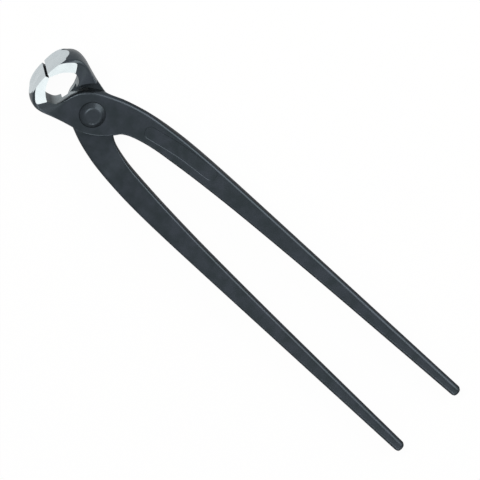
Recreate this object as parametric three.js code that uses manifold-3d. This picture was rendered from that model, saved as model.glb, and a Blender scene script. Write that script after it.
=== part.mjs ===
// Long-handled end-cutting nippers: two like forged levers that cross at one rivet.
// Millimetres, +Z up. +X runs from the rivet towards the handle ends, +Y towards the
// handle of the upper lever, and the rivet's axis is Z, with its lower end face at zero.

import * as THREE from "three";
import { mergeVertices } from "three/addons/utils/BufferGeometryUtils.js";
import Module from "manifold-3d";

const wasm = await Module();
wasm.setup();

// Whole tool
const overallLength = 280;
const jawReach = 33.3;
const handleReach = overallLength - jawReach;

// Handles, seen from above
const gripOffset = 20.75;
const shoulderWidth = 15;
const tipRounding = 2;

// Handles and joint, seen from the side
const jointThickness = 14;
const tipThickness = 7.4;

// Joint
const lapRadius = 12.3;
const swingRoom = 4.6;
const lapGap = 0.3;

// Head
const headHalfSpan = 17.7;
const edgeLength = 24.5;
const edgeGap = 0.3;
const grooveWidth = 1.6;
const grooveDepth = 2;
const bevelRadius = 28;
const bevelCentreOffset = 2;
const sideGroundAngle = THREE.MathUtils.degToRad(14);

// Rounded edges of the forging, and how far its sides swell out at half height
const jointEdge = 1;
const tipEdge = 1.9;
const headEdge = 3.4;
const hollowEdge = 0.5;
const sideSwell = 0.3;
const headSwell = 0.85;

// Rivet
const shankRadius = 5.5;
const boreGap = 0.15;
const headRadius = 6.75;
const headFlatRadius = 3.9;
const headHeight = 3.2;
const headRim = 0.4;
const seatDepth = 0.4;
const seatGap = 0.4;

// One overrun for every cut
const overrun = 3;

// Facets
const ringsPerStation = 3;
const cornerSteps = 4;
const tipSteps = 3;
const roundSides = 72;

const jointHalf = jointThickness / 2;
const tipHalf = tipThickness / 2;

// Handle stations from the tip to the neck: place along handleReach, centre line over
// gripOffset, width over shoulderWidth, height above the middle plane on the way from the
// tip's half thickness to the joint's, and depth below it over the tip's half thickness.
const handleShares = [
  [1.0, 1.0, 0.385, 0.0, 1.0],
  [0.8, 0.963, 0.485, 0.08, 1.07],
  [0.6, 0.922, 0.59, 0.18, 1.16],
  [0.4, 0.868, 0.72, 0.32, 1.28],
  [0.28, 0.82, 0.825, 0.52, 1.24],
  [0.2, 0.767, 0.9, 0.76, 1.05],
  [0.142, 0.703, 0.94, 0.94, 0.76],
];

// Lap stations, in shares of lapRadius: the outer and the inner side of the plate, then the
// depth below the middle plane over half the joint's thickness, or less than zero above it.
const lapShares = [
  [1.95, 1.663, 1.98, 0.416, 0.1],
  [1.26, 1.524, 1.537, 0.203, -0.03],
  [0.61, 1.333, 1.341, -0.033, -0.03],
  [0.04, 1.105, 1.08, -0.31, -0.03],
  [-0.407, 0.894, 0.73, -0.618, 0.6],
  [-0.79, 0.645, 0.285, -0.87, 1],
  [-1.065, 0.35, -0.203, -0.984, 1],
  [-1.215, 0.033, -0.69, -1.105, 1],
  [-1.275, -0.276, -1.18, -1.252, 1],
];

// Jaw stations from the lap to the cutting edge: three shares for the hollow's wall and three for
// the outer side. Each three are how far it is on the way from the lap's last station to the edge,
// its place across over headHalfSpan, and the flare from the joint's to the edge's half width.
const jawShares = [
  [0.076, -0.412, 0.1, 0.255, -0.97, 0.15],
  [0.215, -0.517, 0.26, 0.532, -0.992, 0.48],
  [0.388, -0.559, 0.47, 0.748, -0.906, 0.86],
  [0.55, -0.469, 0.78, 0.925, -0.698, 1.05],
  [0.723, -0.294, 1.05, 1.063, -0.4, 1.15],
];

// The blank's jaw ends this many groove widths out from the cutting edge, past the groove's rim.
const grooveRunOut = 1.4;

/**
 * A station: its left and its right side in plan, and for both sides the height above the middle
 * plane, the depth below it, the rounding of the edges and the swell of the wall.
 */
function station(left, right, heights, depths, rounding, swell) {
  const pair = ([ofLeft, ofRight]) => new THREE.Vector3(ofLeft, ofRight, 0);
  return {
    left: new THREE.Vector3(left[0], left[1], heights[0]),
    right: new THREE.Vector3(right[0], right[1], heights[1]),
    depths: pair(depths),
    rounding: pair(rounding),
    swell: pair(swell),
  };
}

/** A place along the jaw, from the lap's last station at 0 to the cutting edge at 1. */
function jawPlace(share) {
  return THREE.MathUtils.lerp(lapShares.at(-1)[0] * lapRadius, -jawReach, share);
}

/** Half the jaw's width, from the joint's half at 0 to half the cutting edge at 1. */
function flaredHalf(share) {
  return THREE.MathUtils.lerp(jointHalf, edgeLength / 2, share);
}

/** The stations of one lever, from the handle's tip over the lap to the cutting edge. */
function leverStations() {
  const stations = handleShares.map(([along, centre, width, above, below]) => {
    const x = along === 1 ? handleReach - tipRounding : along * handleReach;
    const y = centre * gripOffset;
    const half = width * shoulderWidth / 2;
    const top = THREE.MathUtils.lerp(tipHalf, jointHalf, above);
    const bottom = below * tipHalf;
    const round = THREE.MathUtils.lerp(jointEdge, tipEdge, along);
    return station(
      [x, y + half],
      [x, y - half],
      [top, top],
      [bottom, bottom],
      [round, round],
      [sideSwell, sideSwell],
    );
  });
  for (const [leftX, leftY, rightX, rightY, below] of lapShares) {
    stations.push(station(
      [leftX * lapRadius, leftY * lapRadius],
      [rightX * lapRadius, rightY * lapRadius],
      [jointHalf, jointHalf],
      [below * jointHalf, below * jointHalf],
      [jointEdge, jointEdge],
      [sideSwell, sideSwell],
    ));
  }
  for (const [leftX, leftY, leftFlare, rightX, rightY, rightFlare] of jawShares) {
    const halves = [flaredHalf(leftFlare), flaredHalf(rightFlare)];
    const headShare = Math.min(1, rightFlare);
    stations.push(station(
      [jawPlace(leftX), leftY * headHalfSpan],
      [jawPlace(rightX), rightY * headHalfSpan],
      halves,
      halves,
      [hollowEdge, THREE.MathUtils.lerp(jointEdge, headEdge, headShare)],
      [sideSwell, THREE.MathUtils.lerp(sideSwell, headSwell, headShare)],
    ));
  }
  const rim = new THREE.Vector2(-jawReach, -grooveWidth / 2);
  const edge = new THREE.Vector2(grooveDepth - jawReach, -edgeGap / 2);
  const beyond = edge.clone().lerp(rim, grooveRunOut);
  const edgeHalf = flaredHalf(jawShares.at(-1).at(-1));
  stations.push(station(
    edge.toArray(),
    beyond.toArray(),
    [edgeHalf, edgeHalf],
    [edgeHalf, edgeHalf],
    [hollowEdge, hollowEdge],
    [0, 0],
  ));
  return stations;
}

/** One closed section between two sides: swelling walls and four rounded corners. */
function sectionRing(left, right, depths, rounding, swell, inset) {
  const across = new THREE.Vector2(right.x - left.x, right.y - left.y);
  const width = across.length() - 2 * inset;
  across.normalize();
  const topAt = (along) => THREE.MathUtils.lerp(left.z, right.z, along / width) - inset;
  const bottomAt = (along) => inset - THREE.MathUtils.lerp(depths.x, depths.y, along / width);
  const heights = [0, width].map((along) => topAt(along) - bottomAt(along));
  const largest = Math.min(width, ...heights) / 2;
  const leftRound = Math.min(rounding.x, largest);
  const rightRound = Math.min(rounding.y, largest);
  const leftCentre = Math.min(swell.x + leftRound, width / 2);
  const rightCentre = Math.max(width - swell.y - rightRound, width / 2);
  const ring = [];
  const put = (along, height) => {
    const distance = along + inset;
    ring.push(new THREE.Vector3(
      left.x + across.x * distance,
      left.y + across.y * distance,
      height,
    ));
  };
  const corner = (centre, radius, start, edgeAt, inward) => {
    for (let step = 0; step <= cornerSteps; step += 1) {
      const angle = start - step / cornerSteps * Math.PI / 2;
      const along = centre + radius * Math.cos(angle);
      put(along, edgeAt(along) + radius * (inward + Math.sin(angle)));
    }
  };
  put(0, (topAt(0) + bottomAt(0)) / 2);
  corner(leftCentre, leftRound, Math.PI, topAt, -1);
  corner(rightCentre, rightRound, Math.PI / 2, topAt, -1);
  put(width, (topAt(width) + bottomAt(width)) / 2);
  corner(rightCentre, rightRound, 0, bottomAt, 1);
  corner(leftCentre, leftRound, -Math.PI / 2, bottomAt, 1);
  return ring;
}

/** A closed solid through a list of rings with equally many points. */
function loft(rings) {
  const count = rings[0].length;
  const points = rings.flat();
  const faces = [];
  for (let ring = 0; ring + 1 < rings.length; ring += 1) {
    for (let i = 0; i < count; i += 1) {
      const next = (i + 1) % count;
      const [a, b] = [ring * count + i, ring * count + next];
      const [c, d] = [a + count, b + count];
      faces.push([a, d, b], [a, c, d]);
    }
  }
  for (const [first, flip] of [[0, true], [(rings.length - 1) * count, false]]) {
    const centre = new THREE.Vector3();
    for (let i = 0; i < count; i += 1) centre.addScaledVector(points[first + i], 1 / count);
    const hub = points.push(centre) - 1;
    for (let i = 0; i < count; i += 1) {
      const [a, b] = [first + i, first + (i + 1) % count];
      faces.push(flip ? [a, b, hub] : [b, a, hub]);
    }
  }
  const geometry = new THREE.BufferGeometry().setFromPoints(points);
  geometry.setIndex(faces.flat());
  return geometry;
}

/** The uncut forging of one lever. */
function leverBlank() {
  const stations = leverStations();
  const curve = (key) => new THREE.CatmullRomCurve3(stations.map((s) => s[key]), false, "catmullrom");
  const curves = ["left", "right", "depths", "rounding", "swell"].map(curve);
  const rings = [];
  const ringCount = ringsPerStation * (stations.length - 1);
  for (let i = 0; i <= ringCount; i += 1) {
    const points = curves.map((c) => c.getPoint(i / ringCount));
    rings.push(sectionRing(...points, 0));
  }
  const tip = stations[0];
  for (let step = 1; step <= tipSteps; step += 1) {
    const angle = step / tipSteps * Math.PI / 2;
    const inset = tipRounding * (1 - Math.cos(angle));
    const ring = sectionRing(tip.left, tip.right, tip.depths, tip.rounding, tip.swell, inset);
    ring.forEach((p) => p.setX(p.x + tipRounding * Math.sin(angle)));
    rings.unshift(ring);
  }
  return loft(rings);
}

/** A Manifold solid from a closed geometry. */
function toSolid(geometry) {
  const plain = geometry.clone();
  plain.deleteAttribute("normal");
  plain.deleteAttribute("uv");
  const merged = mergeVertices(plain);
  return new wasm.Manifold(new wasm.Mesh({
    numProp: 3,
    vertProperties: new Float32Array(merged.attributes.position.array),
    triVerts: new Uint32Array(merged.index.array),
  }));
}

/** A geometry from a Manifold solid. */
function toGeometry(solid) {
  const mesh = solid.getMesh();
  const geometry = new THREE.BufferGeometry();
  geometry.setAttribute("position", new THREE.BufferAttribute(mesh.vertProperties, 3));
  geometry.setIndex(new THREE.BufferAttribute(mesh.triVerts, 1));
  return geometry;
}

/** A cylinder on the rivet's axis between two heights. */
function pivotCylinder(radius, low, high) {
  const geometry = new THREE.CylinderGeometry(radius, radius, high - low, roundSides);
  geometry.rotateX(Math.PI / 2);
  geometry.translate(0, 0, (low + high) / 2);
  return geometry;
}

/** The wheel's cut on the front of a jaw: all that lies outside the bevel's large arc. */
function frontGrind() {
  const centre = [bevelRadius - jawReach, -bevelCentreOffset];
  const corner = -jawReach - overrun;
  const side = headHalfSpan + overrun;
  const outline = new THREE.Shape([
    new THREE.Vector2(centre[0], -2 * side),
    new THREE.Vector2(centre[0], 0),
    new THREE.Vector2(corner, 0),
    new THREE.Vector2(corner, -2 * side),
  ]);
  const run = edgeLength + 2 * overrun;
  const block = new THREE.ExtrudeGeometry(outline, { depth: run, bevelEnabled: false });
  block.translate(0, 0, -run / 2);
  const drum = pivotCylinder(bevelRadius, -run, run).translate(centre[0], centre[1], 0);
  return toSolid(block).subtract(toSolid(drum));
}

/** The wheel's cut on the upper side of a jaw: a wedge that falls away from the edge. */
function sideGrind() {
  const slope = Math.tan(sideGroundAngle);
  const half = edgeLength / 2;
  const front = -jawReach - overrun;
  const back = jawPlace(0);
  const groundHeight = (x) => half - slope * (x + jawReach);
  const above = 2 * half;
  const profile = new THREE.Shape([
    new THREE.Vector2(front, groundHeight(front)),
    new THREE.Vector2(back, groundHeight(back)),
    new THREE.Vector2(back, above),
    new THREE.Vector2(front, above),
  ]);
  const run = 2 * (headHalfSpan + overrun);
  const geometry = new THREE.ExtrudeGeometry(profile, { depth: run, bevelEnabled: false });
  geometry.rotateX(Math.PI / 2);
  geometry.translate(0, run / 2, 0);
  return geometry;
}

/** One lever as the upper one lies: its lap plate above the middle plane, its handle at +Y. */
function leverGeometry() {
  const recess = pivotCylinder(lapRadius + swingRoom, -jointThickness, lapGap / 2);
  const bore = pivotCylinder(shankRadius + boreGap, -jointThickness, jointThickness);
  const seat = pivotCylinder(headRadius + seatGap, jointHalf - seatDepth, jointThickness);
  const upperSide = sideGrind();
  const lowerSide = sideGrind().rotateX(Math.PI);
  let lever = toSolid(leverBlank()).subtract(frontGrind());
  for (const cut of [recess, bore, seat, upperSide, lowerSide]) {
    lever = lever.subtract(toSolid(cut));
  }
  return toGeometry(lever);
}

// The rivet's heads sit in their seats with the running gap under them.
const headBase = jointHalf - seatDepth + lapGap;
const rivetHalf = headBase + headHeight;

/** The rivet: a plain shank and a coned head with a flat crown at each end. */
function rivetGeometry() {
  const upper = [
    [shankRadius, headBase],
    [headRadius, headBase],
    [headRadius, headBase + headRim],
    [headFlatRadius, rivetHalf],
    [0, rivetHalf],
  ];
  const lower = upper.map(([radius, height]) => [radius, -height]).reverse();
  const profile = [...lower, ...upper].map(([radius, height]) => new THREE.Vector2(radius, height));
  const geometry = new THREE.LatheGeometry(profile, roundSides);
  geometry.rotateX(Math.PI / 2);
  return toGeometry(toSolid(geometry));
}

const blackSteel = { color: 0x3a4148, roughness: 0.45, metalness: 0.6 };
const rivetSteel = { color: 0x343a40, roughness: 0.5, metalness: 0.6 };

/** A named piece of the tool. */
function piece(name, geometry, finish) {
  const mesh = new THREE.Mesh(geometry, new THREE.MeshStandardMaterial(finish));
  mesh.name = name;
  return mesh;
}

const upperLever = piece("upper_lever", leverGeometry(), blackSteel);
const lowerLever = piece("lower_lever", leverGeometry(), blackSteel);
lowerLever.rotation.x = Math.PI;
const rivet = piece("rivet", rivetGeometry(), rivetSteel);

const nippers = new THREE.Group();
nippers.add(upperLever, lowerLever, rivet);
nippers.position.z = rivetHalf;

export default nippers;
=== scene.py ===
# %% [markdown]
# # End-cutting nippers, forged, blackened and ground
#
# A tool for twisting and cutting reinforcing wire. Two like levers are forged from steel, cross at
# one rivet and are blackened in a hot bath; then a grinding wheel cuts the jaws bright again. The
# lesson builds each lever as a surface, cuts it as the maker's wheels do, and finishes it.
#
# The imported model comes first. It fixes where every piece is, so sizes are read from it where it
# holds them.

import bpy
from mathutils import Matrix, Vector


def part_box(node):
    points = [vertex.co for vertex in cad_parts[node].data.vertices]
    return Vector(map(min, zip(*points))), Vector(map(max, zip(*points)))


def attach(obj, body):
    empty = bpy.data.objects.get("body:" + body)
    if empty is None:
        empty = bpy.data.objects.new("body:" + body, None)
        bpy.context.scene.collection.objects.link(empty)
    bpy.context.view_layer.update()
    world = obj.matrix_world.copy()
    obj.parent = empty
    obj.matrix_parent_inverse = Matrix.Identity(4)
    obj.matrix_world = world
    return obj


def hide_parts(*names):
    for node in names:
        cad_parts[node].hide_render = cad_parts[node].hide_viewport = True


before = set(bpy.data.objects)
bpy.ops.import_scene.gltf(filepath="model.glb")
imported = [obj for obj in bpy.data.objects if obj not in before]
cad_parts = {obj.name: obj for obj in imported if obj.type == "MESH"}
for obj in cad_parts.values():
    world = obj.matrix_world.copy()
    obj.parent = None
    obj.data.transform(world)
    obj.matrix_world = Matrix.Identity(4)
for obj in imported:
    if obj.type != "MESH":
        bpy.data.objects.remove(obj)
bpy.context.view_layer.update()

import bmesh
import bpy
import numpy as np
from mathutils import Matrix, Vector

mm = 0.001

# %% [markdown]
# ## The sizes
#
# The lever's own box gives its reach on both sides of the rivet and the length of the cutting
# edge. The rivet's box gives its height, and the two levers meet in a plane half-way up it. The
# other sizes are the maker's, in millimetres, and each stands where it is first needed.

# %% Sizes from the frame
lever_low, lever_high = (np.array(corner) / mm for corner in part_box("upper_lever"))
rivet_low, rivet_high = (np.array(corner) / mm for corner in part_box("rivet"))
jaw_reach = -lever_low[0]
handle_reach = lever_high[0]
edge_length = lever_high[2] - lever_low[2]
rivet_half = (rivet_high[2] - rivet_low[2]) / 2
middle_height = rivet_low[2] + rivet_half
head_radius = rivet_high[0]
print(f"the jaw reaches {jaw_reach:.1f} mm, the handle {handle_reach:.1f} mm")
print(f"the edge is {edge_length:.1f} mm long and the levers meet {middle_height:.2f} mm up")

# %% [markdown]
# ## The lever as a row of sections
#
# Each lever is one forging that swells and narrows smoothly along its length. It could be pushed
# and pulled out of a box by hand and then smoothed, but smoothing moves every size. So the lever
# is described by stations, as a boat is. Each station says where the lever's left and right side
# are, how far it reaches up and down, and how round its edges are. A smooth curve runs through all
# of them, and the surface follows it. The handle's stations come first, then the lap plate round
# the rivet, then the jaw, which turns towards its neighbour and spreads to the length of the edge.

# %% Sizes of the handle
joint_thickness = 14.0
tip_thickness = 7.4
joint_half = joint_thickness / 2
tip_half = tip_thickness / 2
grip_offset = 20.75  # from the tool's long axis to the middle of the handle's tip
shoulder_width = 15.0  # the handle's widths are shares of this one
tip_rounding = 2.0
handle_edge = 1.4
tip_edge = 2.3
side_swell = 0.3
print(f"{joint_thickness} mm thick at the joint, {tip_thickness} mm at the tip")

# %% Stations of the handle
# Along handle_reach, centre over grip_offset, width over shoulder_width, height on the way from the
# tip's to the joint's, depth over the tip's.
handle_shares = np.array([
    [1.0, 1.0, 0.385, 0.0, 1.0],
    [0.8, 0.963, 0.485, 0.08, 1.07],
    [0.6, 0.922, 0.59, 0.18, 1.16],
    [0.4, 0.868, 0.72, 0.32, 1.28],
    [0.28, 0.82, 0.825, 0.52, 1.24],
    [0.2, 0.767, 0.9, 0.76, 1.05],
    [0.142, 0.703, 0.94, 0.94, 0.76],
])

def handle_stations():
    """Rows of left x, y, right x, y, then for the left and the right side the height, the depth,
    the rounding and the swell of the wall, from the tip to the neck."""
    along, centre, width, rise, depth = handle_shares.T
    x = along * handle_reach
    x[0] -= tip_rounding
    y = centre * grip_offset
    half = width * shoulder_width / 2
    top = tip_half + (joint_half - tip_half) * rise
    low = depth * tip_half
    rounding = handle_edge + (tip_edge - handle_edge) * along
    swell = np.full_like(x, side_swell)
    sides = [x, y + half, x, y - half]
    return np.stack([*sides, top, top, low, low, rounding, rounding, swell, swell], 1)

print(f"{len(handle_shares)} stations on the handle")

# %% Stations of the lap plate
# Left and right side in shares of lap_radius, and the depth over half the joint's thickness.
lap_radius = 12.3
plate_edge = 1.6
joint_edge = 1.0
lap_shares = np.array([
    [1.95, 1.663, 1.98, 0.416, 0.1],
    [1.26, 1.524, 1.537, 0.203, -0.03],
    [0.61, 1.333, 1.341, -0.033, -0.03],
    [0.04, 1.105, 1.08, -0.31, -0.03],
    [-0.407, 0.894, 0.73, -0.618, 0.6],
    [-0.79, 0.645, 0.285, -0.87, 1.0],
    [-1.065, 0.35, -0.203, -0.984, 1.0],
    [-1.215, 0.033, -0.69, -1.105, 1.0],
    [-1.275, -0.276, -1.18, -1.252, 1.0],
])

def lap_stations():
    """The same columns for the plate that turns about the rivet."""
    plan = lap_shares[:, :4] * lap_radius
    height = np.full(len(plan), joint_half)
    low = lap_shares[:, 4] * joint_half
    rest = np.tile([plate_edge, joint_edge, side_swell, side_swell], (len(plan), 1))
    return np.hstack([plan, np.stack([height, height, low, low], 1), rest])

print(f"{len(lap_shares)} stations on the lap plate")

# %% Sizes of the jaw
head_half_span = 17.7
head_edge = 3.4
head_swell = 0.85
hollow_edge = 0.5
edge_gap = 0.3
groove_width = 1.6
groove_depth = 2.0
groove_run_out = 1.4  # where the bevel ends, if its edge is at 0 and the groove's rim at 1
print(f"the edges are {edge_gap} mm apart under a groove {groove_depth} mm deep")

# %% Stations of the jaw
# Three shares for the hollow's wall, then three for the outer side: how far it is on the way from
# the lap to the edge, its place across over head_half_span, and its flare from the joint's half
# width to half the edge.
jaw_shares = np.array([
    [0.076, -0.412, 0.1, 0.255, -0.97, 0.15],
    [0.215, -0.517, 0.26, 0.532, -0.992, 0.48],
    [0.388, -0.559, 0.47, 0.748, -0.906, 0.86],
    [0.55, -0.469, 0.78, 0.925, -0.698, 1.05],
    [0.723, -0.294, 1.05, 1.063, -0.4, 1.15],
])

def jaw_place(share):
    """x on the straight way from the lap's last station at 0 to the cutting edge at 1."""
    start = lap_shares[-1, 0] * lap_radius
    return start + (-jaw_reach - start) * share

def flared(share):
    """Half the jaw's width, from the joint's at 0 to the edge's at 1."""
    return joint_half + (edge_length / 2 - joint_half) * share

def jaw_stations():
    """The same columns for the jaw; its last station runs from the cutting edge, which lies at the
    bottom of the groove between the jaws, out past the groove's rim."""
    left, left_y, left_flare, right, right_y, right_flare = jaw_shares.T
    left_half, right_half = flared(left_flare), flared(right_flare)
    head_share = np.minimum(1, right_flare)
    rows = np.stack([
        jaw_place(left), left_y * head_half_span, jaw_place(right), right_y * head_half_span,
        left_half, right_half, left_half, right_half,
        np.full_like(left, hollow_edge), joint_edge + (head_edge - joint_edge) * head_share,
        np.full_like(left, side_swell), side_swell + (head_swell - side_swell) * head_share,
    ], 1)
    edge = np.array([groove_depth - jaw_reach, -edge_gap / 2])
    rim = np.array([-jaw_reach, -groove_width / 2])
    beyond = edge + (rim - edge) * groove_run_out
    groove = [*edge, *beyond] + [right_half[-1]] * 4 + [hollow_edge, hollow_edge, 0.0, 0.0]
    return np.vstack([rows, groove])

stations = np.vstack([handle_stations(), lap_stations(), jaw_stations()])
print(f"{len(stations)} stations in all")

# %% [markdown]
# The curve through the stations is a row of cubic pieces that passes through each of them and
# needs no control points beside them, so a station can be moved without a thought for the next.
# The rings are laid closer together where the lever turns or changes quickly, at the lap and the
# jaw, than along the straight handle.

# %% A smooth curve through stations
def through(rows, places):
    """Between two rows each column is the cubic whose slope at a row is half the step from the row
    before it to the row after it. Past the ends, the last step is repeated."""
    padded = np.vstack([2 * rows[0] - rows[1], rows, 2 * rows[-1] - rows[-2]])
    span = np.clip(places.astype(int), 0, len(rows) - 2)
    t = (places - span)[:, None]
    before, here, after, beyond = (padded[span + k] for k in range(4))
    linear = (after - before) * t
    square = (2 * before - 5 * here + 4 * after - beyond) * t ** 2
    cube = (3 * here - before - 3 * after + beyond) * t ** 3
    return here + (linear + square + cube) / 2

half_way = through(stations, np.array([0.5]))[0]
print("left side half-way between the first two stations", np.round(half_way[:2], 1).tolist())

# %% Rings along the lever
handle_rings = 16
lap_rings = 14
jaw_rings = 20
last_of_handle = len(handle_shares) - 1
last_of_lap = last_of_handle + len(lap_shares)
last_of_jaw = len(stations) - 1
spans = [
    (0, last_of_handle, handle_rings),
    (last_of_handle, last_of_lap, lap_rings),
    (last_of_lap, last_of_jaw, jaw_rings),
]
ring_places = np.concatenate([np.arange(a, b, 1 / n) for a, b, n in spans] + [[last_of_jaw]])
rings = through(stations, ring_places)
print(f"{len(rings)} rings")

# %% [markdown]
# The tip of each handle is a blunt dome. A Bevel modifier on a flat end would do it too, but its
# width would have to be kept off every other edge. Here the first ring is drawn in step by step
# while it moves outwards, both along a quarter circle, so the dome is part of the same grid.

# %% Dome at the handle's tip
tip_steps = 8
quarter = np.linspace(np.pi / 2, 0, tip_steps, endpoint=False)
dome = np.tile(rings[0], (tip_steps, 1))
dome[:, [0, 2]] += tip_rounding * np.sin(quarter)[:, None]
inset = np.concatenate([tip_rounding * (1 - np.cos(quarter)), np.zeros(len(rings))])
rings = np.vstack([dome, rings])
print(f"{tip_steps} more rings for the dome")

# %% [markdown]
# Each ring is a closed outline across the lever: up the left wall, over the top, down the right
# wall and back underneath, with a rounded corner between each two. A piece of the outline is two
# arrays, one row a ring: how far along the way from left to right its points are, and how high.

# %% Pieces of an outline
corner_steps = 8
flat_steps = 36
wall_steps = 10

def column(values):
    """One value a ring, laid out to go with all the points of that ring."""
    return values[:, None]

def wall(edge, low, high, swell, outward, upward):
    """Straight up or down. It swells outwards at half its height, by its swell times one minus the
    square of the height over half the wall."""
    rise = np.linspace(-1, 1, wall_steps, endpoint=False)[None, :]
    height = (low + high) / 2 + (high - low) / 2 * rise * upward
    return column(edge) - outward * column(swell) * rise ** 2, height

def corner(centre, radius, start, edge_at, inward):
    """A quarter circle from the starting angle on, clockwise, inside the top or the bottom."""
    angle = start - np.linspace(0, np.pi / 2, corner_steps, endpoint=False)[None, :]
    along = column(centre) + column(radius) * np.cos(angle)
    return along, edge_at(along) + column(radius) * (inward + np.sin(angle))

def flat(start, end, edge_at):
    """Along the top or the bottom, in even steps."""
    t = np.linspace(0, 1, flat_steps, endpoint=False)[None, :]
    along = column(start) + column(end - start) * t
    return along, edge_at(along)

print(f"{2 * (wall_steps + flat_steps) + 4 * corner_steps} points a ring")

# %% The outlines together
def outlines(rows, drawn_in):
    """Closed outlines in x, y and height, one a row, drawn in all round. The top and the bottom run
    straight from the left side's height to the right side's."""
    left, right, top, low = rows[:, 0:2], rows[:, 2:4], rows[:, 4:6], rows[:, 6:8]
    across = right - left
    span = np.linalg.norm(across, axis=1)
    across = across / column(span)
    width = span - 2 * drawn_in

    def height_at(pair, along):
        return column(pair[:, 0]) + column((pair[:, 1] - pair[:, 0]) / width) * along

    def top_at(along):
        return height_at(top, along) - column(drawn_in)

    def bottom_at(along):
        return column(drawn_in) - height_at(low, along)

    def wall_ends(edge, rounding):
        return bottom_at(column(edge)) + column(rounding), top_at(column(edge)) - column(rounding)

    thinnest = np.min(top + low, axis=1) - 2 * drawn_in
    largest = np.minimum(width, thinnest) / 2
    round_left, round_right = (np.minimum(rows[:, k], largest) for k in (8, 9))
    swell_left, swell_right = rows[:, 10], rows[:, 11]
    inner_left = np.minimum(swell_left + round_left, width / 2)
    inner_right = np.maximum(width - swell_right - round_right, width / 2)
    outer_left = np.zeros_like(width)
    pieces = [
        wall(outer_left, *wall_ends(outer_left, round_left), swell_left, -1, 1),
        corner(inner_left, round_left, np.pi, top_at, -1),
        flat(inner_left, inner_right, top_at),
        corner(inner_right, round_right, np.pi / 2, top_at, -1),
        wall(width, *wall_ends(width, round_right), swell_right, 1, -1),
        corner(inner_right, round_right, 0, bottom_at, 1),
        flat(inner_right, inner_left, bottom_at),
        corner(inner_left, round_left, -np.pi / 2, bottom_at, 1),
    ]
    along, height = (np.hstack(parts) for parts in zip(*pieces))
    plan = left[:, None, :] + across[:, None, :] * (along + column(drawn_in))[:, :, None]
    return np.dstack([plan, height])

grid = outlines(rings, inset)
print("grid of the blank", grid.shape)

# %% From a grid to a closed mesh
def closed_mesh(name, rows):
    """Quads between neighbouring rows of a grid whose columns close on themselves, and one face on
    the first and on the last row."""
    count, around = rows.shape[:2]
    index = np.arange(count * around).reshape(count, around)
    after = np.roll(index, -1, axis=1)
    quads = np.stack([index[:-1], index[1:], after[1:], after[:-1]], -1).reshape(-1, 4)
    ends = [index[0].tolist(), index[-1][::-1].tolist()]
    mesh = bpy.data.meshes.new(name)
    mesh.from_pydata(rows.reshape(-1, 3).tolist(), [], quads.tolist() + ends)
    return mesh

def new_object(name, data):
    """An object of that data in the scene, at the origin."""
    made = bpy.data.objects.new(name, data)
    bpy.context.scene.collection.objects.link(made)
    return made

blank = new_object("blank", closed_mesh("blank", grid))
print(f"the blank has {len(blank.data.polygons)} faces")

# %% Faces of the hollow
hollow_start = last_of_handle + 6.0  # in stations, at the plate's front
jaw_start = last_of_lap + 1.2

def hollow_faces():
    """True for the faces of the left wall from the plate's front on, all but its uppermost strip,
    which a cutter has milled. On the jaw that strip counts too, and half the rounding on both sides
    of the wall, where the cutter broke the edge."""
    place = np.concatenate([np.zeros(tip_steps), ring_places])[:-1, None]
    strip = np.arange(grid.shape[1])[None, :]
    half_corner = corner_steps // 2
    left_wall = strip < wall_steps - 1
    broken = (strip < wall_steps + half_corner) | (strip >= grid.shape[1] - half_corner)
    milled = (place >= hollow_start) & left_wall | (place >= jaw_start) & broken
    both_ends = [False, False]
    return np.concatenate([milled.ravel(), both_ends])

milled = hollow_faces()
print(f"{milled.sum()} of them line the hollow")

# %% [markdown]
# ## The cuts
#
# Seven cuts turn the blank into a lever. A wheel grinds the front of the jaw to a large arc, a
# punch presses a shallow field into the handle, and the lathe turns the round recess for the other
# lever's plate, the bore and a shallow seat for the rivet's head. Then the wheel slopes both sides
# of the jaw. Each cutter is a closed body over an outline, and the Boolean modifier takes it away.
# The faces that a cutter leaves keep that cutter's material, so a ground face is exactly what the
# wheel touched.

# %% Outlines and prisms
round_sides = 240
full_turn = np.linspace(0, 2 * np.pi, round_sides, endpoint=False)

def arc(radius, angles, centre=(0.0, 0.0)):
    """Points on a circle: the centre plus the radius times cosine and sine."""
    return np.array(centre) + radius * np.stack([np.cos(angles), np.sin(angles)], 1)

def prism(name, outline, low, high):
    """The outline at one height and again at another, joined by walls."""
    ring = np.column_stack([outline, np.zeros(len(outline))])
    rows = np.stack([ring + [0, 0, low], ring + [0, 0, high]])
    return new_object(name, closed_mesh(name, rows))

flatness = lap_radius * (1 - np.cos(np.pi / round_sides))
print(f"a round cut with {round_sides} sides is true to {flatness:.3f} mm at the lap plate")

# %% Wheels for the jaw
overrun = 3.0  # how far the wheels and the punch stand out of the blank
bevel_radius = 28.0
bevel_centre_offset = 2.0
side_ground_slope = np.tan(np.radians(14.8))

def front_wheel():
    """Everything before the large arc: the arc itself, then a corner well outside the jaw."""
    centre = (bevel_radius - jaw_reach, -bevel_centre_offset)
    start = np.pi - np.arcsin(bevel_centre_offset / bevel_radius)
    ground = arc(bevel_radius, np.linspace(start, 1.5 * np.pi, round_sides), centre)
    before, beside = -jaw_reach - overrun, ground[-1, 1] - overrun
    outside = [[centre[0], beside], [before, beside], [before, 0.0]]
    return prism("front_wheel", np.vstack([ground, outside])[::-1], -edge_length, edge_length)

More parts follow.
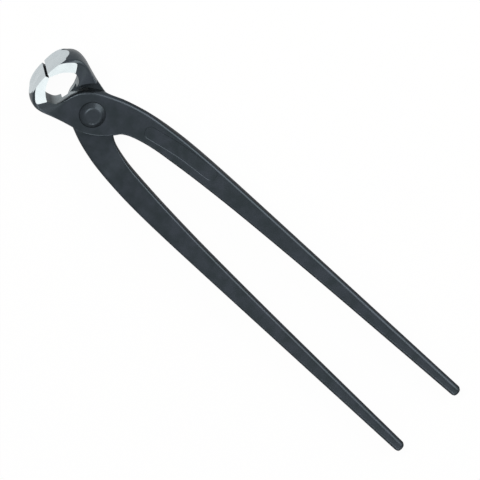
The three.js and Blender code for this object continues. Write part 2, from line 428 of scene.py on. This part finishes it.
def side_wheel(sign):
    """A wedge over the upper or the lower side of the jaw that falls away from the edge. It is
    drawn from the side, as x and height, and then turned up so that it reaches across the jaws."""
    reach = 2 * head_half_span
    x = np.array([-jaw_reach - overrun, jaw_place(0)])
    slope = np.stack([x, edge_length / 2 - side_ground_slope * (x + jaw_reach)], 1)
    over = np.stack([x[::-1], np.full(2, edge_length)], 1)
    outline = np.vstack([slope, over]) * [1, sign]
    wedge = prism("side_wheel", outline[::sign], -reach, reach)
    wedge.data.transform(Matrix.Rotation(np.pi / 2, 4, "X"))
    return wedge

front = front_wheel()
sides = [side_wheel(1), side_wheel(-1)]
print("wheels", front.name, sides[0].name, sides[1].name)

# %% Recess, bore and seat
lap_gap = 0.3
swing_room = 4.6  # from the lap plate's rim to the recess's wall
shank_radius = 5.5
bore_gap = 0.15
seat_depth = 0.4
seat_gap = 0.2
recess_outline = arc(lap_radius + swing_room, full_turn)
recess = prism("recess", recess_outline, -joint_thickness, lap_gap / 2)
bore = prism("bore", arc(shank_radius + bore_gap, full_turn), -joint_thickness, joint_thickness)
seat_outline = arc(head_radius + seat_gap, full_turn)
seat = prism("seat", seat_outline, joint_half - seat_depth, joint_thickness)
print("turned cutters", recess.name, bore.name, seat.name)

# %% [markdown]
# The field on the handle is long and shallow, with round ends and a leaning wall. A bump in the
# material would do from afar, but only a real edge catches the light as the forging does. The
# handle's side falls towards the tip, so the field's floor takes its height from the rings.

# %% Shallow field on the handle
field_line = np.array([[28.9, 13.5], [47.4, 16.9], [67.4, 18.6]])
field_radius = 3.2
field_depth = 0.2
field_steps = 40
field_end_steps = 16
field_end_turn = np.radians(175)  # short of half a turn, so that the end is a face and no line
handle_and_neck = tip_steps + handle_rings * last_of_handle + lap_rings

def field_punch():
    """Its outline is every point at one radius from a curved line, and its wall leans out at 45
    degrees, so the radius grows as much as the height does."""
    line = through(field_line, np.linspace(0, len(field_line) - 1, field_steps))
    ahead = np.gradient(line, axis=0)
    ahead /= np.linalg.norm(ahead, axis=1)[:, None]
    turn = np.linspace(field_end_turn, np.pi / 2, field_end_steps, endpoint=False)
    angle = np.concatenate([turn, np.full(field_steps, np.pi / 2), np.pi - turn[::-1]])[:, None]
    padding = ((field_end_steps, field_end_steps), (0, 0))
    line, ahead = np.pad(line, padding, "edge"), np.pad(ahead, padding, "edge")
    aside = ahead[:, ::-1] * [-1, 1]
    from_joint_to_tip = rings[:handle_and_neck][::-1]

    def border(side, rise):
        away = ahead * np.cos(angle) + side * aside * np.sin(angle)
        plan = line + (field_radius + rise) * away
        top = np.interp(plan[:, 0], from_joint_to_tip[:, 0], from_joint_to_tip[:, 4])
        return np.column_stack([plan, top - field_depth + rise])

    rows = np.stack([border(1, 0), border(-1, 0), border(-1, overrun), border(1, overrun)], 1)
    return new_object("field_punch", closed_mesh("field_punch", rows))

field = field_punch()
field_length = np.linalg.norm(field_line[-1] - field_line[0]) + 2 * field_radius
print(f"the field is {field_length:.0f} mm long and {field_depth} mm deep")

# %% Names of the finishes
finish_forged = bpy.data.materials.new("blackened_forging")
finish_hollow = bpy.data.materials.new("milled_hollow")
finish_turned = bpy.data.materials.new("blackened_turned_face")
finish_front = bpy.data.materials.new("ground_jaw_front")
finish_side = bpy.data.materials.new("ground_jaw_side")
finish_rivet = bpy.data.materials.new("blackened_rivet")
print("bright ones:", finish_front.name, finish_side.name, finish_hollow.name)

# %% Cut the blank
def recalculated(mesh):
    """Faces turned outwards, which the cuts need."""
    work = bmesh.new()
    work.from_mesh(mesh)
    bmesh.ops.recalc_face_normals(work, faces=work.faces)
    work.to_mesh(mesh)
    work.free()

def cut(body, cutters):
    """Takes the cutters away from the body one after another and applies the result."""
    for shape in [body, *cutters]:
        recalculated(shape.data)
    for cutter in cutters:
        step = body.modifiers.new(cutter.name, "BOOLEAN")
        step.operation = "DIFFERENCE"
        step.solver = "EXACT"
        step.material_mode = "TRANSFER"
        step.object = cutter
    bpy.context.view_layer.update()
    seen = body.evaluated_get(bpy.context.evaluated_depsgraph_get())
    result = bpy.data.meshes.new_from_object(seen)
    for spent in [body, *cutters]:
        bpy.data.objects.remove(spent)
    return result

blank.data.materials.append(finish_forged)
blank.data.materials.append(finish_hollow)
blank.data.polygons.foreach_set("material_index", milled.astype(np.int32))
cuts = [
    (front, finish_front), (field, finish_forged), (recess, finish_turned), (bore, finish_turned),
    (seat, finish_turned), (sides[0], finish_side), (sides[1], finish_side),
]
for cutter, finish in cuts:
    cutter.data.materials.append(finish)
lever_mesh = cut(blank, [cutter for cutter, finish in cuts])
print(f"the lever has {len(lever_mesh.polygons)} faces and {len(lever_mesh.materials)} finishes")

# %% Smooth shading, sharp at the cuts
sharp_angle = np.radians(28)

def shade(mesh):
    """Smooth everywhere but where two faces meet at more than the sharp angle."""
    mesh.polygons.foreach_set("use_smooth", np.ones(len(mesh.polygons), bool))
    mesh.set_sharp_from_angle(angle=sharp_angle)
    mesh.update()
    return mesh

def sharpen_borders(mesh):
    """Sharp also where a wheel's face ends, however flat the angle: the edges whose lowest and
    highest neighbouring finish differ. The hollow counts as forged, because it runs on smoothly."""
    finish, corners = (np.empty(len(mesh.polygons), np.int32) for _ in range(2))
    edge_of_corner = np.empty(len(mesh.loops), np.int32)
    mesh.polygons.foreach_get("material_index", finish)
    mesh.polygons.foreach_get("loop_total", corners)
    mesh.loops.foreach_get("edge_index", edge_of_corner)
    names = [material.name for material in mesh.materials]
    finish[finish == names.index(finish_hollow.name)] = names.index(finish_forged.name)
    finish_of_corner = np.repeat(finish, corners)
    lowest, highest = np.full(len(mesh.edges), len(names)), np.full(len(mesh.edges), -1)
    np.minimum.at(lowest, edge_of_corner, finish_of_corner)
    np.maximum.at(highest, edge_of_corner, finish_of_corner)
    sharp = np.empty(len(mesh.edges), bool)
    mesh.edges.foreach_get("use_edge_sharp", sharp)
    mesh.edges.foreach_set("use_edge_sharp", sharp | (lowest != highest))
    mesh.update()
    return int((~sharp & (lowest != highest)).sum())

shade(lever_mesh)
print(sharpen_borders(lever_mesh), "edges more are sharp round the ground faces")

# %% Both levers in their places
to_frame = Matrix.Scale(mm, 4) @ Matrix.Translation((0, 0, middle_height))

def in_place(mesh, name, turn):
    """A copy in metres: turned about the lever's own length, then lifted to the middle plane."""
    placed = mesh.copy()
    placed.name = name
    placed.transform(to_frame @ Matrix.Rotation(turn, 4, "X"))
    return new_object(name, placed)

upper = in_place(lever_mesh, "upper_lever_forging", 0)
lower = in_place(lever_mesh, "lower_lever_forging", np.pi)
for lever, body, node in ((upper, "upper", "upper_lever"), (lower, "lower", "lower_lever")):
    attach(lever, body)
    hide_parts(node)
print("levers", upper.name, lower.name)

# %% [markdown]
# ## The rivet
#
# Its head is a short cone with a flat crown. The set that closes it leaves soft edges, so the
# profile has a small fillet at the rim and a large one at the crown. A cylinder and two cones with
# a Bevel modifier come close, but a profile turned about the axis gives each fillet its own radius.

# %% A fillet
fillet_steps = 7

def filleted(before, at, after, radius):
    """The arc of that radius that touches both legs of a corner."""
    before, at, after = (np.array(p, float) for p in (before, at, after))
    to_before, to_after = ((p - at) / np.linalg.norm(p - at) for p in (before, after))
    half = np.arccos(np.clip(to_before @ to_after, -1, 1)) / 2
    middle = to_before + to_after
    centre = at + middle / np.linalg.norm(middle) * radius / np.sin(half)
    start = at + to_before * radius / np.tan(half) - centre
    end = at + to_after * radius / np.tan(half) - centre
    t = np.linspace(0, 1, fillet_steps)[:, None]
    chord = start * (1 - t) + end * t
    return centre + chord / np.linalg.norm(chord, axis=1)[:, None] * radius

square = filleted((0, 1), (0, 0), (1, 0), 1.0)
print("a fillet of 1 in a square corner is nearest to it at", np.round(square[3], 2).tolist())

# %% Rivet
head_base = joint_half - seat_depth + lap_gap
head_rim = 0.4
crown_radius = 4.2
crown_fillet = 2.4
rim_fillet = 0.25
crown_steps = 5
crown_centre = 0.01  # the innermost ring, which one face closes

def rivet_profile():
    """Radius and height of the upper half, from the middle of the shank to the crown's centre."""
    shoulder = (shank_radius, head_base)
    under = (head_radius, head_base)
    rim = (head_radius, head_base + head_rim)
    crown = (crown_radius, rivet_half)
    upper_rim = filleted(under, rim, crown, rim_fillet)
    crown_edge = filleted(rim, crown, (0.0, rivet_half), crown_fillet)
    inwards = np.linspace(crown_edge[-1, 0], crown_centre, crown_steps + 1)[1:]
    flat_top = np.column_stack([inwards, np.full(crown_steps, rivet_half)])
    return np.vstack([[shank_radius, 0.0], shoulder, under, upper_rim, crown_edge, flat_top])

def rivet_mesh():
    """The profile and its mirror below, turned about the axis."""
    half = rivet_profile()
    radius, height = np.vstack([(half * [1, -1])[:0:-1], half]).T
    around = [column(radius) * np.cos(full_turn), column(radius) * np.sin(full_turn)]
    mesh = closed_mesh("rivet_closed", np.dstack([*around, column(height) + 0 * full_turn]))
    recalculated(mesh)
    mesh.transform(to_frame)
    return shade(mesh)

rivet = new_object("rivet_closed", rivet_mesh())
rivet.data.materials.append(finish_rivet)
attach(rivet, "lower")
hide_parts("rivet")
print(f"the rivet's head stands {rivet_half - head_base:.1f} mm above its seat")

# %% [markdown]
# ## Finishes
#
# The bath leaves a thin, dense, bluish black on the forging's fine scale. It is neither paint nor
# bare metal, so its shader is only partly metal, with a dark colour and a weak shine at a slant.
# The head is the exception: a painted sheen raises its shine at a slant where it turns away.
# Ground steel is the opposite of the black, a bright mirror blurred along the wheel's scratches.

# %% Helpers for nodes
def dialled(node, **values):
    """The node with its sockets, or else its own settings, set by name."""
    for key, value in values.items():
        socket = node.inputs.get(key.replace("_", " "))
        if socket is None:
            setattr(node, key, value)
        else:
            socket.default_value = value
    return node

def add(tree, kind, **values):
    """A new node with those values."""
    return dialled(tree.nodes.new(kind), **values)

def find(tree, kind):
    """The tree's first node of that type."""
    return next(node for node in tree.nodes if node.type == kind)

def cleared(material):
    """An empty tree with one shader and its output."""
    material.use_nodes = True
    tree = material.node_tree
    tree.nodes.clear()
    output = tree.nodes.new("ShaderNodeOutputMaterial")
    shader = tree.nodes.new("ShaderNodeBsdfPrincipled")
    tree.links.new(shader.outputs["BSDF"], output.inputs["Surface"])
    return tree, shader

print("for nodes:", *(helper.__name__ for helper in (dialled, add, find, cleared)))

# %% Helpers for patterns
def stretched(tree, scale=(1, 1, 1)):
    """Object coordinates, stretched along each axis."""
    coordinates = tree.nodes.new("ShaderNodeTexCoord")
    node = add(tree, "ShaderNodeMapping", Scale=scale)
    tree.links.new(coordinates.outputs["Object"], node.inputs["Vector"])
    return node.outputs["Vector"]

def noise_of(tree, vector, scale, detail, roughness=0.55):
    """Fractal noise on that vector."""
    node = add(tree, "ShaderNodeTexNoise", Scale=scale, Detail=detail, Roughness=roughness)
    tree.links.new(vector, node.inputs["Vector"])
    return node.outputs["Fac"]

def spread(tree, value, stretch, onto):
    """Maps one stretch of a value to another, evenly, and clamps it there."""
    node = add(tree, "ShaderNodeMapRange", From_Min=stretch[0], From_Max=stretch[1])
    dialled(node, To_Min=onto[0], To_Max=onto[1])
    tree.links.new(value, node.inputs["Value"])
    return node.outputs["Result"]

def along_tool(tree, stretch, onto=(0, 1)):
    """A value that changes evenly between two places on the tool's length, in metres."""
    axes = tree.nodes.new("ShaderNodeSeparateXYZ")
    tree.links.new(stretched(tree), axes.inputs[0])
    return spread(tree, axes.outputs["X"], stretch, onto)

def blended(tree, factor, first, second):
    """A colour between two colours."""
    node = tree.nodes.new("ShaderNodeMix")
    node.data_type = "RGBA"
    tree.links.new(factor, node.inputs["Factor"])
    node.inputs["A"].default_value = (*first, 1)
    node.inputs["B"].default_value = (*second, 1)
    return node.outputs["Result"]

def raised(tree, height, distance, strength, before=None):
    """A bump of that height field, on top of an earlier one."""
    node = add(tree, "ShaderNodeBump", Strength=strength, Distance=distance)
    tree.links.new(height, node.inputs["Height"])
    if before is not None:
        tree.links.new(before, node.inputs["Normal"])
    return node.outputs["Normal"]

patterns = (stretched, noise_of, spread, along_tool, blended, raised)
print("for patterns:", *(helper.__name__ for helper in patterns))

# %% Blackened steel
black_low = (0.033, 0.0425, 0.049)
black_high = (0.041, 0.050, 0.0615)
black_grazing = (0.20, 0.20, 0.20)
black_specular = 0.25
cloud_scale, wave_scale, grain_scale = 160, 110, 2400
cloud_stretch = (0.35, 0.65)
wave_height, wave_strength = 0.4 * mm, 0.2
grain_height = 0.04 * mm

def blacken(material, roughness, grain, metal_share):
    """Clouds of a few millimetres in colour and gloss, and two bumps: wide waves and a fine
    grain."""
    tree, shader = cleared(material)
    place = stretched(tree)
    clouds = noise_of(tree, place, cloud_scale, detail=3)
    fine = noise_of(tree, place, grain_scale, detail=3)
    waves = noise_of(tree, place, wave_scale, detail=1)
    share = spread(tree, clouds, cloud_stretch, (0, 1))
    tree.links.new(blended(tree, share, black_low, black_high), shader.inputs["Base Color"])
    gloss = spread(tree, clouds, cloud_stretch, (roughness - 0.04, roughness + 0.05))
    tree.links.new(gloss, shader.inputs["Roughness"])
    wavy = raised(tree, waves, wave_height, wave_strength)
    tree.links.new(raised(tree, fine, grain_height, grain, wavy), shader.inputs["Normal"])
    tint = (*black_grazing, 1)
    dialled(shader, Metallic=metal_share, Specular_IOR_Level=black_specular, Specular_Tint=tint)

blacken(finish_forged, roughness=0.32, grain=0.5, metal_share=0.78)
blacken(finish_turned, roughness=0.45, grain=0.25, metal_share=0.4)
blacken(finish_rivet, roughness=0.36, grain=0.3, metal_share=0.68)
print("blackened", finish_forged.name, finish_turned.name, finish_rivet.name)

# %% Painted sheen on the head
# A raised tint at a slant on the head: a painted sheen, brighter than the neck's.
painted_head_sheen = (0.62, 0.64, 0.65)
neck_to_head = (0.008, -0.014)

def painted_sheen_towards_jaw(material):
    """A painted sheen: the head's tint at a slant is raised, so it shines where it turns away from
    the eye. Along x that sheen fades out on the neck."""
    tree = material.node_tree
    tint = blended(tree, along_tool(tree, neck_to_head), black_grazing, painted_head_sheen)
    tree.links.new(tint, find(tree, "BSDF_PRINCIPLED").inputs["Specular Tint"])

painted_sheen_towards_jaw(finish_forged)
print("the shine grows from x", neck_to_head[0], "to", neck_to_head[1])

# %% [markdown]
# The wheel leaves fine scratches along its path, and the cutter in the hollow coarser ones. A
# picture of brushed metal could be wrapped round the jaw, but it would be torn where two ground
# faces meet. Noise stretched along one axis gives the same streaks on every face, at any size.

# %% Ground and milled steel
steel = (0.53, 0.595, 0.62)
steel_dull = (0.45, 0.505, 0.53)
milled_light = (0.50, 0.56, 0.58)
milled_dark = (0.36, 0.41, 0.43)
patch_scale = 130
scratch_stretch = patch_stretch = (0.3, 0.7)
scratch_height = 0.03 * mm
gloss_swing = 0.05

def grind(material, scale, light, dark, roughness, depth):
    """Scratches are noise stretched along the tool's path; they change colour and height. Patches
    change the gloss."""
    tree, shader = cleared(material)
    scratches = noise_of(tree, stretched(tree, scale), 1.0, detail=5, roughness=0.65)
    patches = noise_of(tree, stretched(tree), patch_scale, detail=2)
    share = spread(tree, scratches, scratch_stretch, (0, 1))
    tree.links.new(blended(tree, share, dark, light), shader.inputs["Base Color"])
    swing = (roughness - gloss_swing, roughness + gloss_swing)
    tree.links.new(spread(tree, patches, patch_stretch, swing), shader.inputs["Roughness"])
    tree.links.new(raised(tree, scratches, scratch_height, depth), shader.inputs["Normal"])
    dialled(shader, Metallic=1.0)

grind(finish_front, (300, 300, 9000), steel, steel_dull, roughness=0.31, depth=0.35)
grind(finish_side, (300, 9000, 300), steel, steel_dull, roughness=0.31, depth=0.35)
grind(finish_hollow, (900, 900, 4000), milled_light, milled_dark, roughness=0.40, depth=0.5)
print("ground", finish_front.name, finish_side.name, "and milled", finish_hollow.name)

# %% Painted shade at the hollow's ends
# A near black painted as shade deep in the hollow and under the plate.
painted_shade_in_hollow = (0.036, 0.049, 0.056)
milled_grazing = (0.65, 0.65, 0.65, 1)
jaw_to_bright = (-0.0200, -0.0148)
bright_to_plate = (-0.0125, -0.0085)

def painted_shade_at_ends(material):
    """Painted shade: along x the milled steel fades into near black towards the jaw, deep in the
    hollow, and towards the plate, in its shade. The share is the product of two even changes."""
    tree = material.node_tree
    shader = find(tree, "BSDF_PRINCIPLED")
    steel_colour = shader.inputs["Base Color"].links[0].from_socket
    share = add(tree, "ShaderNodeMath", operation="MULTIPLY")
    tree.links.new(along_tool(tree, jaw_to_bright), share.inputs[0])
    tree.links.new(along_tool(tree, bright_to_plate, (1, 0)), share.inputs[1])
    colour = blended(tree, share.outputs[0], painted_shade_in_hollow, milled_light)
    tree.links.new(steel_colour, colour.node.inputs["B"])
    tree.links.new(colour, shader.inputs["Base Color"])
    dialled(shader, Specular_Tint=milled_grazing)

painted_shade_at_ends(finish_hollow)
print("the hollow is bright from x", jaw_to_bright[1], "to", bright_to_plate[0])

# %% [markdown]
# ## Floor, light and camera
#
# The tool lies on a white table, on the rims of its jaws and the tips of its handles. The jaws are
# thicker than the tips, so the table's plane is turned a little about the tool's cross axis.
# Around it everything is white: a white tent is the plainest way to light steel, because steel
# shows whatever surrounds it.

# %% White table
jaw_rest = np.array([-jaw_reach, 0, middle_height - edge_length / 2]) * mm
tip_rest = np.array([handle_reach - tip_rounding, 0, middle_height - tip_half]) * mm
table_side = 4.0

def table():
    """A large square through both resting lines: from the jaws' one, half a side each way along the
    tool and half a side each way across it."""
    along = (tip_rest - jaw_rest) / np.linalg.norm(tip_rest - jaw_rest)
    ways = np.array([[-1, -1], [1, -1], [1, 1], [-1, 1]])
    corners = jaw_rest + ways @ np.stack([along, [0, 1, 0]]) * table_side / 2
    mesh = bpy.data.meshes.new("table")
    mesh.from_pydata(corners.tolist(), [], [(0, 1, 2, 3)])
    return new_object("table", mesh)

floor = table()
slant = np.degrees(np.arctan2(tip_rest[2] - jaw_rest[2], tip_rest[0] - jaw_rest[0]))
print(f"the table is turned by {slant:.2f} degrees")

# %% The table's paper
paper_colour = (0.92, 0.92, 0.92, 1)
paper_roughness = 0.9
paper_light = 0.97

def where_white_shows(tree):
    """1 for what the camera or a gloss looks at, 0 for everything else."""
    path = tree.nodes.new("ShaderNodeLightPath")
    seen = add(tree, "ShaderNodeMath", operation="MAXIMUM")
    tree.links.new(path.outputs["Is Camera Ray"], seen.inputs[0])
    tree.links.new(path.outputs["Is Glossy Ray"], seen.inputs[1])
    return seen.outputs[0]

def lit_paper(material):
    """Part of the paper's white is its own, so that the shadow on it stays faint."""
    tree, shader = cleared(material)
    dialled(shader, Base_Color=paper_colour, Roughness=paper_roughness)
    share = spread(tree, where_white_shows(tree), (0, 1), (0, paper_light))
    glow = add(tree, "ShaderNodeEmission", Strength=1.0)
    mix = tree.nodes.new("ShaderNodeMixShader")
    tree.links.new(share, mix.inputs["Fac"])
    tree.links.new(shader.outputs["BSDF"], mix.inputs[1])
    tree.links.new(glow.outputs["Emission"], mix.inputs[2])
    tree.links.new(mix.outputs["Shader"], find(tree, "OUTPUT_MATERIAL").inputs["Surface"])

paper = bpy.data.materials.new("table_paper")
lit_paper(paper)
floor.data.materials.append(paper)
print(f"{paper_light:.0%} of the paper's white is its own")

# %% White surroundings
tent_white = 1.0
tent_light = 0.1

def surroundings():
    """White where the camera or a gloss looks, and a plain grey light for everything else."""
    world = bpy.data.worlds.new("tent")
    world.use_nodes = True
    tree = world.node_tree
    tree.nodes.clear()
    output = tree.nodes.new("ShaderNodeOutputWorld")
    back = tree.nodes.new("ShaderNodeBackground")
    strength = spread(tree, where_white_shows(tree), (0, 1), (tent_light, tent_white))
    tree.links.new(strength, back.inputs["Strength"])
    tree.links.new(back.outputs["Background"], output.inputs["Surface"])
    return world

bpy.context.scene.world = surroundings()
print("surroundings", bpy.context.scene.world.name)

# %% [markdown]
# Small lamps would burn white dots into the ground faces. Large ones lie on the black skin as even
# areas and draw a thin light line along every rounded edge, which is what tells a forging from a
# flat shape. Each stands opposite the edges that it has to draw.

# %% Soft lamps
lamp_colour = (1.0, 0.955, 0.91)
lamp_distance = 1.2
lamp_aim = Vector((0.06, 0, 0))

def soft_box(name, direction, size, radiance):
    """A rectangular lamp, as wide and tall as size says, that looks at the tool from that
    direction. Its power is its radiance times pi times its area."""
    data = bpy.data.lights.new(name, "AREA")
    data.shape = "RECTANGLE"
    data.size, data.size_y = size
    data.energy = radiance * np.pi * size[0] * size[1]
    data.color = lamp_colour
    lamp = new_object(name, data)
    away = Vector(direction).normalized()
    lamp.location = lamp_aim + away * lamp_distance
    lamp.rotation_euler = away.to_track_quat("Z", "Y").to_euler()
    return lamp

lamps = [
    soft_box("key", (0.69, -0.16, 0.70), (0.7, 0.7), radiance=1.1),
    soft_box("edge_light", (0.08, 0.92, 0.36), (1.2, 1.0), radiance=4),
    soft_box("front_light", (-0.60, 0.05, 0.80), (0.85, 0.35), radiance=10.2),
    soft_box("rim_light", (0.62, -0.66, 0.42), (0.35, 0.35), radiance=8),
]
print("lamps", [lamp.name for lamp in lamps])

# %% [markdown]
# The camera stands far off, as for a catalogue picture, so that both handles keep their true
# proportion. Three angles turn it, one number gives pixels for a millimetre, and the rivet's foot
# is put on its own pixel.

# %% Where the camera looks
lean = np.radians(18.857)
roll = np.radians(73.463)
swing = np.radians(60.38)

def view_axes():
    """Unit vectors to the right and up in the picture, and towards the camera."""
    flat = np.array([np.cos(swing), np.sin(swing), 0])
    steep = np.array([np.sin(swing) * np.cos(lean), -np.cos(swing) * np.cos(lean), np.sin(lean)])
    right = np.sin(roll) * flat + np.cos(roll) * steep
    up = np.cos(roll) * flat - np.sin(roll) * steep
    return right, up, np.cross(right, up)

print("towards the camera", np.round(view_axes()[2], 3).tolist())

# %% Camera
frame_pixels = 480
sensor_width = 36.0
camera_distance = 5000.0
pixels_per_mm = 1.939
rivet_pixel = np.array([92.34, 114.91])
aim_x = 105.0
far_limit = 20.0

def camera_place(right, up, toward):
    """The camera's place in metres: the foot of the rivet lands on rivet_pixel."""
    rivet_foot = np.array([0, 0, joint_half])
    nearer = toward @ (rivet_foot - [aim_x, 0, 0])
    scale = pixels_per_mm / (1 - nearer / camera_distance)
    off = (rivet_pixel - frame_pixels / 2) / scale
    centre_right = right @ rivet_foot - off[0]
    centre_up = up @ rivet_foot + off[1]
    depth = toward @ [aim_x, 0, 0] + camera_distance
    place = right * centre_right + up * centre_up + toward * depth
    return (place + [0, 0, middle_height]) * mm

def camera():
    """The camera itself, looking along its own minus z."""
    right, up, toward = view_axes()
    data = bpy.data.cameras.new("catalogue_camera")
    data.sensor_width = sensor_width
    data.lens = pixels_per_mm * camera_distance * sensor_width / frame_pixels
    data.clip_end = far_limit
    made = new_object("catalogue_camera", data)
    turn = Matrix([right, up, toward]).transposed().to_4x4()
    made.matrix_world = Matrix.Translation(camera_place(right, up, toward)) @ turn
    return made

bpy.context.scene.camera = camera()
bpy.context.scene.view_settings.view_transform = "Standard"
print("focal length", round(bpy.context.scene.camera.data.lens, 1))
